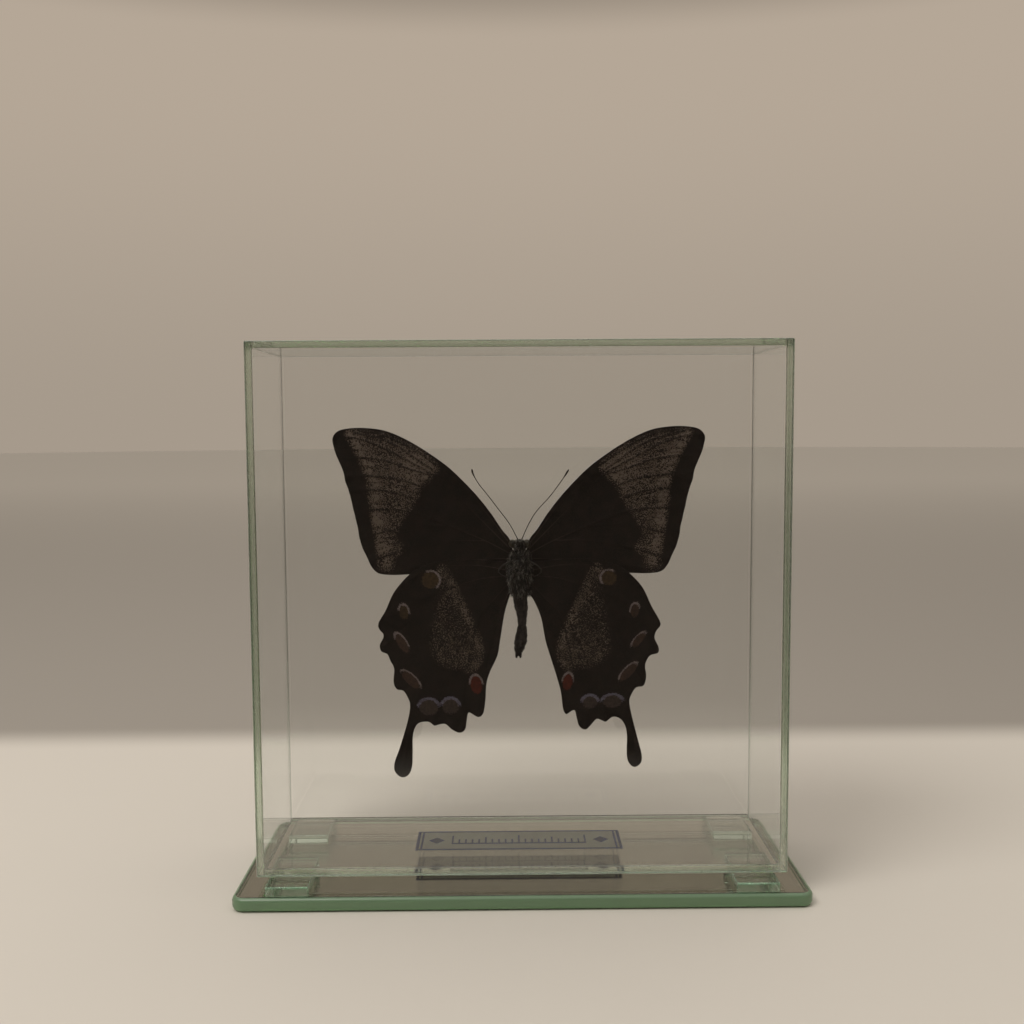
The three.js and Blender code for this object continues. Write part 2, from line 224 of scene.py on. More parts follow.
GLUE_LINE = 0.02 * MM  # taken off every side of a piece of glass, so that no two of them touch
BLOCK_ARRIS = 0.22 * MM
BLOCK_TINT = (0.25, 0.85, 0.55, 1)
BLOCK_TINT_PER_METRE = 14
block_glasses = (
    float_glass("block glass", BLOCK_TINT, BLOCK_TINT_PER_METRE, (0.0, 0.03)),
    ground_glass("block sides", BLOCK_TINT, BLOCK_TINT_PER_METRE, (0.95, 1.0, 0.94), 1.0, 0.07),
    ground_glass("block arris", BLOCK_TINT, BLOCK_TINT_PER_METRE, (0.96, 1.0, 0.90), 0.9, 0.25),
)
FACE_GLASS, SIDE_GLASS, ARRIS_GLASS = 0, 1, 2


def glass_sheet(node_name, new_name, glasses, arris):
    """A cut sheet or block of glass with ground sides, and every edge taken off in a narrow ground arris.
    The glasses are those of its faces, its sides and its arrises, in that order."""
    low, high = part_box(node_name)
    film = Vector((GLUE_LINE,) * 3)
    sheet = cut_block(new_name, low + film, high - film)
    thin = min(range(3), key=lambda axis: high[axis] - low[axis])
    round_edges(sheet, arris, 2)
    for material in glasses:
        sheet.data.materials.append(material)
    for face in sheet.data.polygons:
        if max(abs(c) for c in face.normal) < 0.98:
            face.material_index = ARRIS_GLASS
        elif abs(face.normal[thin]) < 0.02:
            face.material_index = SIDE_GLASS
        else:
            face.material_index = FACE_GLASS
    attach(sheet, "root")
    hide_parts(node_name)


for place in ("front_left", "front_right", "back_left", "back_right"):
    glass_sheet(f"block_{place}", f"spacer_{place}", block_glasses, BLOCK_ARRIS)

# ---- Case panes ----
# Six panes of thin clear float glass, edge-glued into a sealed box: the front and back cover the edges of
# the sides, and the top and bottom sit between the sides. All edges are ground and polished.

PANE_ARRIS = 0.28 * MM
pane_glasses = (
    float_glass("pane glass", (0.35, 0.8, 0.5, 1), 8, (0.0, 0.004)),
    ground_glass("ground pane edge", (0.45, 0.84, 0.45, 1), 5, (0.98, 1.0, 0.92), 1.0, 0.2),
    ground_glass("pane arris", (0.62, 0.8, 0.42, 1), 3, (1.0, 1.0, 0.92), 0.8, 0.3),
)
for place in ("front", "back", "left", "right", "top", "bottom"):
    glass_sheet(f"pane_{place}", f"case_{place}", pane_glasses, PANE_ARRIS)

# ---- Label ----
# A strip of cloudy film stuck under the bottom pane. It is printed with a border that is double at its ends,
# small diamonds and a plain scale of one division to two millimetres.

FILM_THICKNESS = 0.1 * MM
FILM_CORNER_RADIUS = 0.8 * MM
FILM_IOR = 1.45
INK_IOR = 1.1  # the ink beds in glue and glass, so it has hardly any shine of its own
INK_PROUD = 0.02 * MM  # how far the ink stands out of both faces of the film
low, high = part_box("label")
film_low = Vector((low.x, low.y, high.z - FILM_THICKNESS))
film = cut_block("label_film", film_low, high + Vector((0, 0, 0.5 * GLUE_LINE)))
round_edges(film, FILM_CORNER_RADIUS, 4, upright)
material, tree, plastic = new_material("label film")
haze = two_tones(tree, grain(tree, 300, 3), (0.57, 0.65, 0.55, 1), (0.68, 0.73, 0.64, 1))
cloudy = ramp(tree, grain(tree, 400, 2), 0.3, 0.7, 0.5, 0.65)
feed(tree, plastic, {"Base Color": haze, "Transmission Weight": 0.7, "IOR": FILM_IOR, "Roughness": cloudy})
film.data.materials.append(material)
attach(film, "root")
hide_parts("label")

ink, tree, dye = new_material("blue print")
blue = two_tones(tree, grain(tree, 3000, 2), srgb(0, 40, 104), srgb(6, 70, 146))
feed(tree, dye, {"Base Color": blue, "Roughness": 0.5, "IOR": INK_IOR})
print_top = high.z + GLUE_LINE + INK_PROUD
print_low = film_low.z - INK_PROUD
middle = (low + high) / 2
half_size = (high - low) / 2


def stroke(name, x, y, width, depth, turn=0):
    """One printed bar, its centre given from the label's middle."""
    centre = Vector((middle.x + x, middle.y + y, (print_low + print_top) / 2))
    half = Vector((width, depth, print_top - print_low)) / 2
    bar = cut_block(name, -half, half)
    bar.data.transform(Matrix.Translation(centre) @ Matrix.Rotation(turn, 4, "Z"))
    return bar


BORDER = 0.9 * MM
INNER_BORDER = 0.6 * MM
INNER_BORDER_INSET = 1.7 * MM  # from the end of the label to the middle of the inner line
border_y, border_x = half_size.y - BORDER / 2, half_size.x - BORDER / 2
inner_x, end_length = half_size.x - INNER_BORDER_INSET, 2 * (half_size.y - BORDER)
strokes = [stroke("border", 0, side * border_y, 2 * half_size.x, BORDER) for side in (-1, 1)]
for side in (-1, 1):
    strokes.append(stroke("border end", side * border_x, 0, BORDER, end_length))
    strokes.append(stroke("inner border end", side * inner_x, 0, INNER_BORDER, end_length))

SCALE_DIVISIONS = 20
SCALE_DIVISION = 2 * MM
SCALE_Y = -2.4 * MM
SCALE_LINE, TICK_LINE = 0.9 * MM, 0.5 * MM
LONG_TICK, MIDDLE_TICK, SHORT_TICK = 6.2 * MM, 4.8 * MM, 3.2 * MM
strokes.append(stroke("scale", 0, SCALE_Y, SCALE_DIVISIONS * SCALE_DIVISION + TICK_LINE, SCALE_LINE))
for i in range(SCALE_DIVISIONS + 1):
    tick = LONG_TICK if i % 10 == 0 else MIDDLE_TICK if i % 5 == 0 else SHORT_TICK
    tick_x = (i - SCALE_DIVISIONS / 2) * SCALE_DIVISION
    strokes.append(stroke("tick", tick_x, SCALE_Y + tick / 2, TICK_LINE, tick))

DIAMOND_X = 24.8 * MM
DIAMONDS = {"diamond": 3.4 * MM, "small diamond": 1.5 * MM}
for side in (-1, 1):
    for name, size in DIAMONDS.items():
        strokes.append(stroke(name, side * DIAMOND_X, 0, size, size, math.radians(45)))
bpy.ops.object.select_all(action="DESELECT")
for bar in strokes:
    bar.select_set(True)
bpy.context.view_layer.objects.active = strokes[0]
bpy.ops.object.join()
label_print = bpy.context.object
label_print.name = "label_print"
label_print.data.materials.clear()
label_print.data.materials.append(ink)
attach(label_print, "root")

# ---- Mounting post ----
# A short clear rod of polished acrylic, glued to the back pane and to the insect's back.

POST_EDGE_ROUND = 0.15 * MM
low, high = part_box("mounting_post")
radius = (high.x - low.x) / 2
bpy.ops.object.select_all(action="DESELECT")
bpy.ops.mesh.primitive_cylinder_add(
    vertices=48, radius=radius, depth=high.y - low.y, location=(low + high) / 2, rotation=(math.pi / 2, 0, 0)
)
post = bpy.context.object
post.name = "clear_post"
bpy.ops.object.transform_apply(location=True, rotation=True, scale=True)
add_modifier(post, "BEVEL", width=POST_EDGE_ROUND, segments=2, limit_method="ANGLE", angle_limit=SHARP_EDGE)
post.data.materials.append(float_glass("clear acrylic", (0.7, 0.9, 0.8, 1), 4, (0.0, 0.05)))
bpy.ops.object.shade_smooth_by_angle(angle=math.radians(35))
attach(post, "root")
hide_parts("mounting_post")

# ---- Body ----
# Dry horny skin under hair and scales: a head with two big eyes and two palps, a deep barrel of a thorax and
# a bowed, shrunken abdomen of rings that ends in two claspers.

BODY_VOXEL = 0.14 * MM
ABDOMEN_TOP = 82.6 * MM
RING_PITCH = 2.05 * MM
RING_DEPTH = 0.13 * MM
RING_GROOVE = 0.14  # half width of the groove between two rings, as a share of the pitch
RING_SWELL = 0.45  # how far a ring stands out between its grooves, as a share of their depth
RING_FADE = 2 * MM  # the rings deepen over this much of the abdomen's upper end


def emboss(tree, shader, height, strength, depth, invert=False):
    """Raises a surface a little where height is high."""
    bump = node(tree, "Bump", {"Height": height, "Strength": strength, "Distance": depth}, invert=invert)
    feed(tree, shader, {"Normal": bump.outputs["Normal"]})


body = bpy.data.objects.new("insect_body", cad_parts["butterfly_body"].data.copy())
bpy.context.scene.collection.objects.link(body)
alone(body)
bpy.ops.object.mode_set(mode="EDIT")
bpy.ops.mesh.select_all(action="SELECT")
bpy.ops.mesh.remove_doubles(threshold=0.01 * MM)
bpy.ops.object.mode_set(mode="OBJECT")
add_modifier(body, "REMESH", mode="VOXEL", voxel_size=BODY_VOXEL)
add_modifier(body, "SMOOTH", factor=0.5, iterations=10)
pushed = []
for vertex in body.data.vertices:
    place, out = vertex.co, Vector((vertex.normal.x, vertex.normal.y, 0))
    below = ABDOMEN_TOP - place.z
    push = 0.0
    if below > 0:
        ring = (below / RING_PITCH) % 1
        groove = math.exp(-((min(ring, 1 - ring) / RING_GROOVE) ** 2))
        push = RING_DEPTH * (RING_SWELL - groove) * min(1, below / RING_FADE)
    pushed.append(place + out * push)
for vertex, place in zip(body.data.vertices, pushed):
    vertex.co = place

material, tree, skin = new_material("body skin")
brown = two_tones(tree, grain(tree, 900, 4), (0.006, 0.0045, 0.0035, 1), (0.05, 0.036, 0.027, 1), 0.35, 0.75)
feed(tree, skin, {"Base Color": brown, "Roughness": 0.65})
emboss(tree, skin, grain(tree, 5000, 2), 0.5, 0.08 * MM)
body.data.materials.clear()
body.data.materials.append(material)
body.data.shade_smooth()
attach(body, "root")
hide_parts("butterfly_body")

# ---- Eyes ----
# Two glossy brown domes of fine facets, set in the sides of the head.

eye_material, tree, shell = new_material("eye facets")
facets = node(tree, "TexVoronoi", {"Vector": node(tree, "TexCoord").outputs["Object"], "Scale": 7000.0})
dome = two_tones(tree, grain(tree, 700, 2), (0.02, 0.014, 0.008, 1), (0.08, 0.06, 0.03, 1))
feed(tree, shell, {"Base Color": dome, "Roughness": 0.38})
emboss(tree, shell, facets.outputs["Distance"], 0.4, 0.05 * MM, invert=True)
EYE_SIZE = Vector((1.14, 1.49, 1.29)) * MM
EYE_OFFSET = 2.1 * MM
EYE_FORWARD = 0.2 * MM
EYE_DROP = 1.4 * MM
body_low, body_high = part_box("butterfly_body")
crown = body_high.z
eye_y = (body_low.y + body_high.y) / 2 - EYE_FORWARD
for side, word in ((-1, "left"), (1, "right")):
    bpy.ops.object.select_all(action="DESELECT")
    bpy.ops.mesh.primitive_uv_sphere_add(segments=40, ring_count=24, radius=1)
    eye = bpy.context.object
    eye.name = f"eye_{word}"
    bpy.ops.object.mode_set(mode="EDIT")
    bpy.ops.mesh.select_all(action="SELECT")
    bpy.ops.transform.resize(value=EYE_SIZE)
    bpy.ops.transform.translate(value=(side * EYE_OFFSET, eye_y, crown - EYE_DROP))
    bpy.ops.object.mode_set(mode="OBJECT")
    eye.data.materials.append(eye_material)
    eye.data.shade_smooth()
    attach(eye, "root")

# ---- Hair ----
# Dry grey-brown hair, thickest on the thorax and between the eyes, lying back along the body. The very
# pale tips of the grey hair are partly its own colour and partly painted highlight.

HAIR_SCATTER = 0.28  # how far hairs stray from the way of their neighbours
HAIR_LENGTHS = (0.5, 1.25)  # the shortest and the longest, as shares of the usual length
HAIR_SUNK = 0.05 * MM  # how deep the roots stand in the skin
OFF_AXIS = Vector((0.3, 0.5, 0.8))
generator = np.random.default_rng(7)


def hair_coat(name, wanted, count, length, lean, thickness, material):
    """Tapered three-sided hairs on the faces of the body whose centres answer to wanted."""
    faces = [f for f in body.data.polygons if wanted(f.center)]
    areas = np.array([f.area for f in faces])
    picks = generator.choice(len(faces), count, p=areas / areas.sum())
    points, sides, tips = [], [], []
    for pick in picks:
        face = faces[pick]
        jitter = Vector(generator.normal(0, 1, 3))
        way = (face.normal + lean + jitter * HAIR_SCATTER).normalized()
        across = way.cross(OFF_AXIS).normalized()
        third = [Matrix.Rotation(math.tau * k / 3, 3, way) @ across for k in range(3)]
        grown = length * generator.uniform(*HAIR_LENGTHS)
        root = face.center - face.normal * HAIR_SUNK
        knee = root + way * grown * 0.5
        tip = knee + (way + lean * 0.5).normalized() * grown * 0.5
        first = len(points)
        points += [root + t * thickness for t in third]
        points += [knee + t * thickness * 0.75 for t in third]
        points.append(tip)
        tips += [0, 0, 0, 0.5, 0.5, 0.5, 1]
        sides.append((first + 2, first + 1, first))
        for k in range(3):
            n = (k + 1) % 3
            sides.append((first + k, first + n, first + 3 + n, first + 3 + k))
            sides.append((first + 3 + k, first + 3 + n, first + 6))
    mesh = bpy.data.meshes.new(name)
    mesh.from_pydata(points, [], sides)
    along = mesh.attributes.new("reach", "FLOAT", "POINT")
    along.data.foreach_set("value", np.array(tips, np.float32))
    mesh.materials.append(material)
    coat = bpy.data.objects.new(name, mesh)
    bpy.context.scene.collection.objects.link(coat)
    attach(coat, "root")


def hair_material(name, root, tip):
    """Hair that pales from root to tip, in tufts that pale more and less."""
    material, tree, hair = new_material(name)
    along = node(tree, "Attribute", attribute_name="reach").outputs["Fac"]
    tufts = ramp(tree, grain(tree, 900, 2, (1.5, 1.5, 0.45)), 0.46, 0.6)
    paled = node(tree, "Math", {0: along, 1: tufts}, operation="MULTIPLY").outputs[0]
    feed(tree, hair, {"Base Color": two_tones(tree, paled, root, tip), "Roughness": 0.55})
    return material


HEAD_LENGTH = 3.2 * MM
THORAX_END = 16.5 * MM  # below the crown
FOREHEAD = 1.5 * MM  # half the width between the eyes
neck = crown - HEAD_LENGTH
thorax_low = crown - THORAX_END
# the pale tips here are partly the hair's own grey and partly painted highlight
grey_hair_with_painted_highlight = hair_material("thorax hair with painted highlight", (0.007, 0.0055, 0.005, 1), (0.66, 0.60, 0.52, 1))
brown_hair = hair_material("abdomen scales", (0.009, 0.006, 0.005, 1), (0.15, 0.10, 0.075, 1))
down = Vector((0, 0, -0.9))
for name, wanted, count, length, lean, thickness, material in (
    ("thorax_hair", lambda c: thorax_low < c.z < neck, 4400, 1.5, down, 0.034, grey_hair_with_painted_highlight),
    ("head_hair", lambda c: c.z > neck and abs(c.x) < FOREHEAD, 900, 0.6, down, 0.02, grey_hair_with_painted_highlight),
    ("abdomen_scales", lambda c: c.z < thorax_low, 3600, 0.42, down * 1.8, 0.03, brown_hair),
):
    hair_coat(name, wanted, count, length * MM, lean, thickness * MM, material)

# ---- Wings ----
# Dry membranes on a fan of hollow veins, covered in dust-fine scales: dark brown underneath with a pale
# dusting, lilac-edged spots and one rust spot by each inner margin, and shining blue above.

# Sizes and places are in millimetres here, across and up from the centre of the thorax.
WING_THICKNESS = 0.2
WING_CELL = 0.32  # of the grid that a wing is cut from
WING_LEVEL_GAP = 0.45  # how far the forewings stand behind the origin, and the hindwings in front of it
WING_TIP_LIFT = 1.5
WING_HALF_SPAN = 55
WING_EDGE_STEP = 0.6
WING_SHEET_MARGIN = 1
WING_ROOT = (2, 2)
CUTTER_DEPTH = 4
LINE_STEP = 1.0  # between the places on a vein's or a marking's line
FOLD_DEPTH = 0.15
FOLDS_PER_TURN = 10
RIPPLE_DEPTH, RIPPLE_WIDTH = 0.12, 4  # of the waves along the margin
TENT_DEPTH = 0.10  # how far the membrane stands up between two veins
VEIN_RELIEF, VEIN_HALF_WIDTH = 0.09, 0.26
SMOOTH_ANGLE = math.radians(50)
UPPER_NORMAL = 0.3  # backward part of the normal of a face of the upper side
STREAKS_ACROSS, STREAKS_ALONG, CLOUDS = 6, 0.13, 0.35
THORAX_CENTRE = 91.7  # its height above the underside of the base plate

FOREWING_OUTLINE = [
    (2.6, 7.2), (5.4, 11.2), (8.3, 15.6), (12.1, 20.5), (16.4, 25.2), (20.8, 29.4), (25.8, 33.1),
    (30.8, 36.3), (35.6, 38.8), (40, 40.4), (45.3, 41.1), (50, 41), (53.3, 40.2), (54.9, 38.2),
    (54.6, 35.4), (53.6, 32.4), (52.4, 29.7), (51.7, 27.5), (51.3, 25.2), (50.3, 22.4), (49.6, 19.4),
    (49, 16.6), (48.5, 14.4), (47.9, 11.6), (47.4, 8.4), (46.5, 5.4), (44.9, 2), (44, 0), (42.2, -1.8),
    (39.2, -2.4), (33, -2.3), (24, -1.6), (14, -0.6), (6, 0.3), (2, 0.8),
]
FOREWING_TIP, FOREWING_HEEL = 13, 27  # knots where the outer margin starts and ends
HINDWING_LEFT_OUTLINE = [
    (2, 0.6), (8, 1.6), (14, 2.2), (20, 2.2), (25.5, 1.3), (30, -0.5), (33.2, -2.7), (37.3, -7.5),
    (39.9, -13), (42.1, -16.8), (41.8, -18.8), (40.8, -19.8), (40.7, -21.2), (41.8, -23.4), (41.3, -25.3),
    (39.6, -26.1), (38.8, -27.8), (37.6, -30.6), (37.8, -34.6), (36.8, -36.7), (34.9, -37.2),
    (33.2, -40.2), (33.1, -43.2), (34.2, -48), (36.3, -54.7), (37.9, -59.2), (37.8, -61.8), (36.6, -63.3),
    (35.1, -63.6), (33.5, -62.6), (32.6, -60), (32.4, -55.5), (32.3, -51.2), (31.6, -48.4), (30.3, -46.9),
    (28.2, -46.6), (27, -46.9), (25.8, -47.8), (24.6, -47.5), (22.6, -47.3), (20.6, -48.9), (18.3, -50),
    (16.6, -49), (16.1, -46.2), (15.6, -43.9), (14.5, -44.2), (12.6, -45.2), (11.2, -44.2), (10.5, -40.5),
    (10.1, -35.1), (9, -31.4), (6.8, -26.6), (5.8, -21), (4.6, -14), (3, -8.6), (2, -5.8),
]
HINDWING_RIGHT_OUTLINE = [
    (2, 0.6), (8, 1.6), (14, 2.2), (20, 2.2), (25.2, 1.4), (29.6, -0.2), (32.6, -2.3), (36.4, -6.5),
    (39.2, -12.3), (41.6, -16.6), (41.8, -18.3), (40.7, -19.5), (40.1, -21.8), (41.3, -24.6),
    (41.1, -26.4), (38.6, -27.2), (37.3, -30), (37.6, -33.5), (36.8, -36.1), (34.5, -36.8), (32.8, -39.6),
    (32.7, -42.3), (33.9, -47.6), (35.4, -53.4), (36.4, -57.6), (36, -59.9), (34.3, -61.1), (32.8, -60.2),
    (31.9, -57.6), (31.9, -51.2), (31.2, -48), (29.8, -46.1), (28.2, -45.5), (27, -45.9), (25.6, -47),
    (24.6, -46.7), (22.8, -46.1), (21.2, -47.8), (19.4, -49.3), (17.6, -48.3), (16.8, -45.8),
    (16.2, -43.4), (14.8, -43.9), (13.6, -44.5), (12.7, -42.8), (12.1, -38), (11.1, -34), (9.4, -28.4),
    (7.6, -22.4), (6.2, -15.2), (4, -9.9), (2, -6.6),
]
HINDWING_SHOULDER, HINDWING_INNER = 6, 47  # the same for a hindwing
FOREWING_VEINS = [
    [(2.8, 6.6), (12, 18.6), (22, 28.4), (32, 35.2), (40, 38.9), (47, 40.2)],
    [(20, 24.6), (27, 29.6), (34, 34.6), (41, 37.9), (49, 39.8)],
    [(2.8, 5.2), (12, 14.6), (20, 22.6), (26, 27.6), (32.4, 31.2), (40, 35.2), (47, 37.8), (53, 38.6)],
    [(26, 27.2), (31.5, 28.7), (39, 31.3), (46, 32.3), (52.6, 32.4)],
    [(26, 27.2), (28.6, 23.6), (29.6, 19.6), (28, 15)],
    [(28.6, 23.6), (35, 25.8), (43, 26.9), (50.8, 27.2)],
    [(29.6, 19.6), (37, 22.1), (44.4, 22.8), (49.6, 22.4)],
    [(2.8, 3.8), (10, 7.6), (18, 11), (28, 15), (36, 16.8), (43, 17), (48.2, 16.6)],
    [(20, 11.9), (29, 12.2), (39, 10.6), (46.6, 8.4)],
    [(10, 7.6), (20, 7.6), (34, 5), (43.6, 1.8)],
    [(2.8, 2.4), (14, 1.8), (28, 0.2), (39.6, -1.4)],
]
HINDWING_VEINS = [
    [(2.6, -1.2), (12, 0.4), (21, 0.3), (29, -1.6), (34.6, -5.4)],
    [(2.6, -2.6), (12, -3.6), (20, -6.2), (28, -9.2), (35, -12.6), (40.6, -17)],
    [(22, -7), (25.4, -10.6), (24.5, -15), (21, -18.4), (15, -17.4)],
    [(25.4, -10.6), (33, -16.8), (40.2, -23.4)],
    [(24.5, -15), (31, -24.4), (36.8, -34.4)],
    [(21, -18.4), (26.8, -30), (31.6, -41), (33.2, -49), (34.6, -56), (35.4, -61)],
    [(15, -17.4), (20.6, -30), (24, -39.4), (25.6, -46.2)],
    [(2.6, -4.2), (8, -10), (12, -14.8), (15, -27), (17, -39), (18.2, -48)],
    [(3, -6.6), (6.4, -15), (9.6, -26), (11.8, -36), (12.6, -43)],
]
FOREWING_DUST_OUTER = [
    (50.5, 40), (48.8, 35.6), (46.7, 31.2), (44.6, 25.6), (44, 20), (43.4, 14.4), (42.5, 8.7), (40.8, 1.5),
]
FOREWING_DUST_INNER = [
    (34.5, 5), (37, 9), (36.9, 9.2), (34.9, 13.5), (32.7, 16.3), (30.4, 20), (28.9, 23.5), (26, 26.5),
    (24, 29.3),
]
FOREWING_DUST_TOP = [(27, 32.4), (33, 36.4), (40, 39.2)]
HINDWING_DUST_LINE = [
    (22.8, -0.4), (20.8, -3.6), (18.8, -7.6), (16.2, -13.6), (13.8, -18.8), (12.3, -23), (12.2, -27),
    (14, -30.3),
]
HINDWING_DUST_OUTER = [(19, -31.2), (25, -29), (27.5, -24), (27, -16), (25.4, -8), (24.6, -3)]

# Brighter patches of dust: centre, and reach along and across.
FOREWING_CORNER_PATCH = ((28, 30), (8, 8))
FOREWING_HEEL_PATCH = ((39.6, 1.6), (2, 2.6))
HINDWING_LOW_PATCH = ((19, -27.5), (8.8, 5.5))

# Strength of the dust: even, in blotches between the veins, in the patches and along the line.
FOREWING_DUST, BLOTCHES_DUST, CORNER_DUST, HEEL_DUST = 0.35, 1.1, 0.55, 0.85
HINDWING_DUST, LOW_DUST, LINE_DUST = 0.145, 0.22, 0.44
BLOTCH_REACH, LINE_REACH = 3.0, 2.5

# Width of the black margins round the blue of the upper side.
FOREWING_BLACK, FOREWING_BLACK_SCALLOP, FOREWING_BLACK_TAPER = 15.5, 4, 0.22
HINDWING_BLACK, HINDWING_BLACK_SCALLOP = 11, 3

# Spots: centre, half length, half width, turn of the long axis, and the way that the pale rim faces.
HINDWING_LEFT_SPOTS = {
    "ochre": [((26.5, -3.9), 2.9, 2.8, 0, 150), ((34.5, -13.5), 2.5, 1.6, 85, 110)],
    "tan": [((35.1, -22.9), 3.7, 1.5, 59, 120), ((32.7, -33.8), 4.0, 1.6, 44, 130)],
    "lunule": [((27.4, -42.2), 3.2, 2.7, 0, 90), ((20.9, -41.9), 2.8, 2.6, 0, 90)],
    "rust": [((13.1, -35.4), 3.1, 2.0, 80, 90)],
}
HINDWING_RIGHT_SPOTS = {
    "ochre": [((26.4, -3.6), 2.6, 2.5, 0, 140)],
    "tan": [
        ((34.2, -13.5), 2.4, 1.5, 85, 110), ((35.3, -22.4), 3.2, 1.3, 49, 130),
        ((32.2, -32), 3.9, 1.5, 46, 130),
    ],
    "lunule": [((27.5, -40.8), 3.2, 2.2, 0, 90), ((20.8, -41), 2.6, 2.2, 0, 90)],
    "rust": [((14.1, -34.8), 2.9, 1.7, 80, 90)],
}
RIM_WIDTH, LUNULE_RIM_WIDTH = 0.45, 0.6
RIM_AT = 0.98  # as a share of the spot's radius


def smooth_line(knots, step, closed=False):
    """Places at about even steps along a smooth curve through the knots."""
    knots = np.array(knots, float)
    before, after = 2 * knots[:1] - knots[1:2], 2 * knots[-1:] - knots[-2:-1]
    if closed:
        before, after = knots[-1:], knots[:2]
    run = np.vstack([before, knots, after])
    places = []
    for a, b, c, d in zip(run, run[1:], run[2:], run[3:]):
        t = np.linspace(0, 1, max(2, int(np.linalg.norm(c - b) / step)), endpoint=False)[:, None]
        curve = 2 * b + (c - a) * t + (2 * a - 5 * b + 4 * c - d) * t**2 + (3 * b - a - 3 * c + d) * t**3
        places.append(curve / 2)
    if not closed:
        places.append(knots[-1:])
    return np.vstack(places)


def distance_to(line, places):
    """How far each place is from a run of straight lengths."""
    nearest = np.full(len(places), np.inf)
    for start, end in zip(line[:-1], line[1:]):
        way = end - start
        along = np.clip((places - start) @ way / (way @ way), 0, 1)
        nearest = np.minimum(nearest, np.hypot(*(places - start - along[:, None] * way).T))
    return nearest


def depth_in(outline, places):
    """Distance to a closed outline, positive inside it."""
    inside = np.zeros(len(places), bool)
    for (x0, y0), (x1, y1) in zip(outline, np.roll(outline, -1, 0)):
        crosses = (y0 > places[:, 1]) != (y1 > places[:, 1])
        rise = y1 - y0 if y1 != y0 else 1e-9
        inside ^= crosses & (places[:, 0] < x0 + (places[:, 1] - y0) / rise * (x1 - x0))
    gap = distance_to(np.vstack([outline, outline[:1]]), places)
    return np.where(inside, gap, -gap)


def soft(value, low, high):
    """A soft step from nothing at low to one at high."""
    t = np.clip((value - low) / (high - low), 0, 1)
    return t * t * (3 - 2 * t)


def fading(distance, reach):
    """One at no distance, dying away over about twice the reach."""
    return np.exp(-((distance / reach) ** 2))


def patch(places, centre, reach):
    """A patch that is strongest at its centre and fades away as its two reaches say."""
    return fading(np.hypot(*((places - centre) / reach).T), 1)


def spot_masks(places, spots, masks):
    """Adds each spot's dull centre and pale rim to the masks."""
    for kind, members in spots.items():
        halo, width = ("arc", LUNULE_RIM_WIDTH) if kind == "lunule" else ("lilac", RIM_WIDTH)
        for centre, long, wide, turn, facing in members:
            turn, facing = math.radians(turn), math.radians(facing)
            dx, dy = (places - centre).T
            u = (dx * math.cos(turn) + dy * math.sin(turn)) / long
            v = (dy * math.cos(turn) - dx * math.sin(turn)) / wide
            radius = np.hypot(u, v)
            size = math.sqrt(long * wide)
            towards = np.cos(np.arctan2(dy, dx) - facing)
            masks[kind] = np.maximum(masks[kind], soft((1 - radius) * size, -0.1, 0.7))
            rim = soft(width - np.abs(radius - RIM_AT) * size, 0, 0.3) * soft(towards, -0.25, 0.35)
            masks[halo] = np.maximum(masks[halo], rim)


def forewing_masks(places, lane):
    """Dusting of the underside and the blue field of the upper side."""
    band = FOREWING_DUST_OUTER + FOREWING_DUST_INNER + FOREWING_DUST_TOP
    depth = depth_in(smooth_line(band, LINE_STEP, closed=True), places)
    outer = distance_to(smooth_line(FOREWING_DUST_OUTER, LINE_STEP), places)
    scallop = np.sin(np.pi * lane)
    blotches = fading(outer, BLOTCH_REACH) * (0.22 + 0.42 * scallop)
    corner = patch(places, *FOREWING_CORNER_PATCH)
    dust = soft(depth, -1.5, 1.6) * (FOREWING_DUST + BLOTCHES_DUST * blotches + CORNER_DUST * corner)
    dust = np.maximum(dust, HEEL_DUST * patch(places, *FOREWING_HEEL_PATCH))
    knots = np.array(FOREWING_OUTLINE, float)
    margin = distance_to(knots[FOREWING_TIP : FOREWING_HEEL + 1], places)
    costa = distance_to(knots[: FOREWING_TIP + 1], places)
    black = FOREWING_BLACK - FOREWING_BLACK_SCALLOP * scallop - FOREWING_BLACK_TAPER * places[:, 1]
    blue = soft(margin - black, -0.6, 0.8) * soft(costa, 2.0, 3.2)
    return {"dust": dust, "blue": blue}


def hindwing_masks(places, lane):
    """The same for a hindwing, with the speckles that lie along a slanting line."""
    region = HINDWING_DUST_LINE + HINDWING_DUST_OUTER
    depth = depth_in(smooth_line(region, LINE_STEP, closed=True), places)
    line = distance_to(smooth_line(HINDWING_DUST_LINE, LINE_STEP), places)
    low_end = patch(places, *HINDWING_LOW_PATCH)
    dust = soft(depth, -1.5, 3.0) * (HINDWING_DUST + LOW_DUST * low_end)
    dust = np.maximum(dust, LINE_DUST * fading(line, LINE_REACH) * soft(depth, -2.6, 0.4))
    knots = np.array(HINDWING_LEFT_OUTLINE, float)
    margin = distance_to(knots[HINDWING_SHOULDER : HINDWING_INNER + 1], places)
    inner = distance_to(knots[HINDWING_INNER:], places)
    black = HINDWING_BLACK - HINDWING_BLACK_SCALLOP * np.sin(np.pi * lane)
    blue = soft(margin - black, -0.5, 0.7) * soft(inner, 3.5, 5.5)
    return {"dust": dust, "blue": blue}


